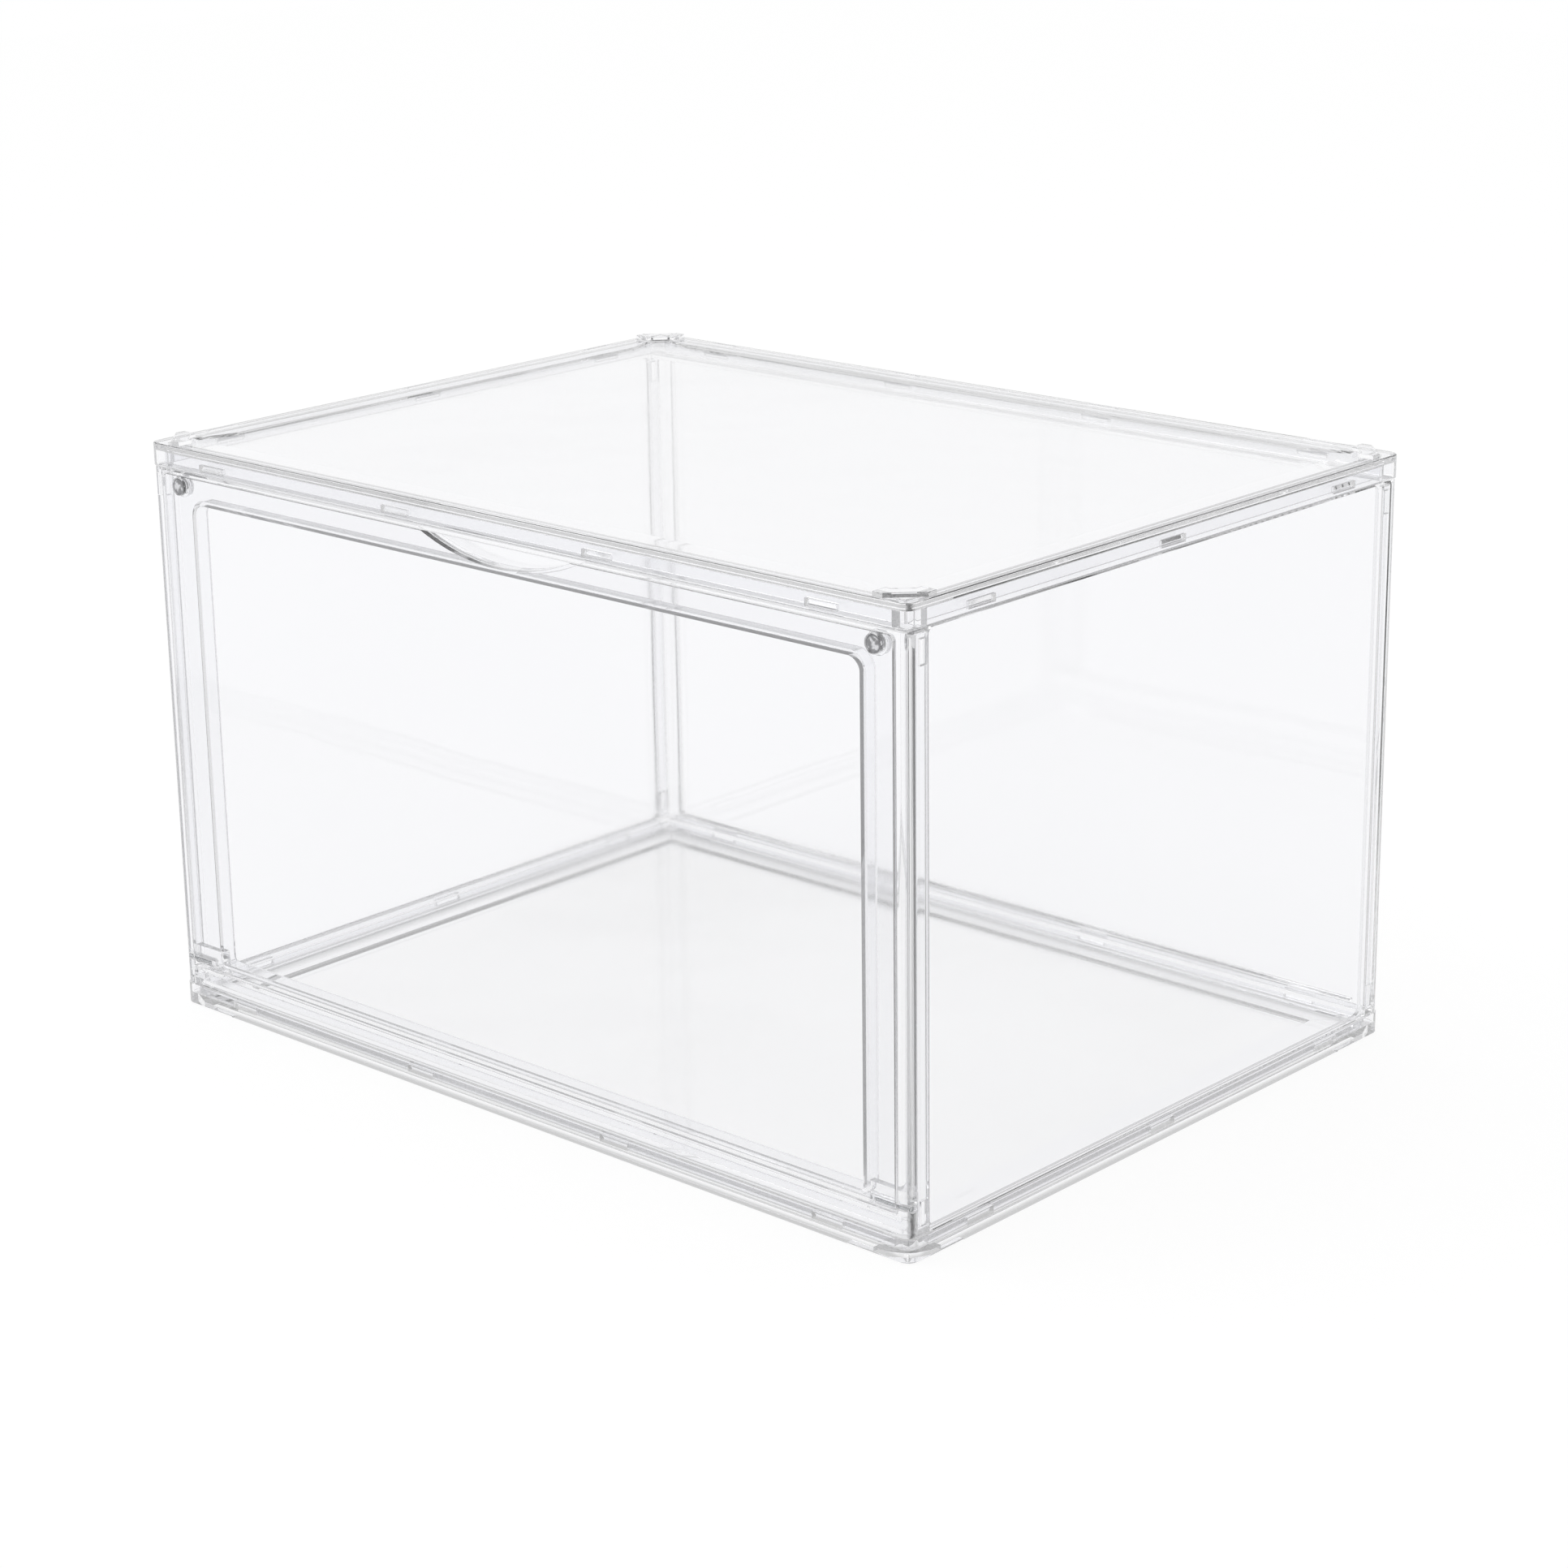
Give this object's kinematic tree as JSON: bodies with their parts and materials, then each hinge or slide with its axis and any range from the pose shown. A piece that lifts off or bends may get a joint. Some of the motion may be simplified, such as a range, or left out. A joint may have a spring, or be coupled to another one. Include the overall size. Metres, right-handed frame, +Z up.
{
  "type": "acrylic display case",
  "caption": "Clear box that clips together from flat mouldings, with a flush drop-front door on pins and magnets, and a lid shaped for stacking.",
  "frame": {"origin": "under the middle of the case, on the surface that it stands on", "axes": "+X along the width, to the right as seen from the front; the door is on the -Y side; +Z up"},
  "size_m": [0.36, 0.265, 0.2175],
  "materials": {
    "clear_plastic": "clear, polished, very slightly cool",
    "magnet_nickel": "nickel plate, slightly dull",
    "pin_steel": "plain bright steel"
  },
  "bodies": {
    "case": {"base_tray": "clear_plastic", "lid": "clear_plastic", "side_panel_left": "clear_plastic", "side_panel_right": "clear_plastic", "back_panel": "clear_plastic", "front_frame": "clear_plastic", "frame_magnet_left": "magnet_nickel", "frame_magnet_right": "magnet_nickel", "hinge_pin_left": "pin_steel", "hinge_pin_right": "pin_steel"},
    "drop_door": {"door": "clear_plastic", "door_magnet_left": "magnet_nickel", "door_magnet_right": "magnet_nickel"}
  },
  "joints": [
    {"name": "door_hinge", "type": "hinge", "parent": "case", "child": "drop_door", "pos_m": [0, -0.1297, 0.0186], "axis": [1, 0, 0], "range_deg": [0, 90]}
  ]
}
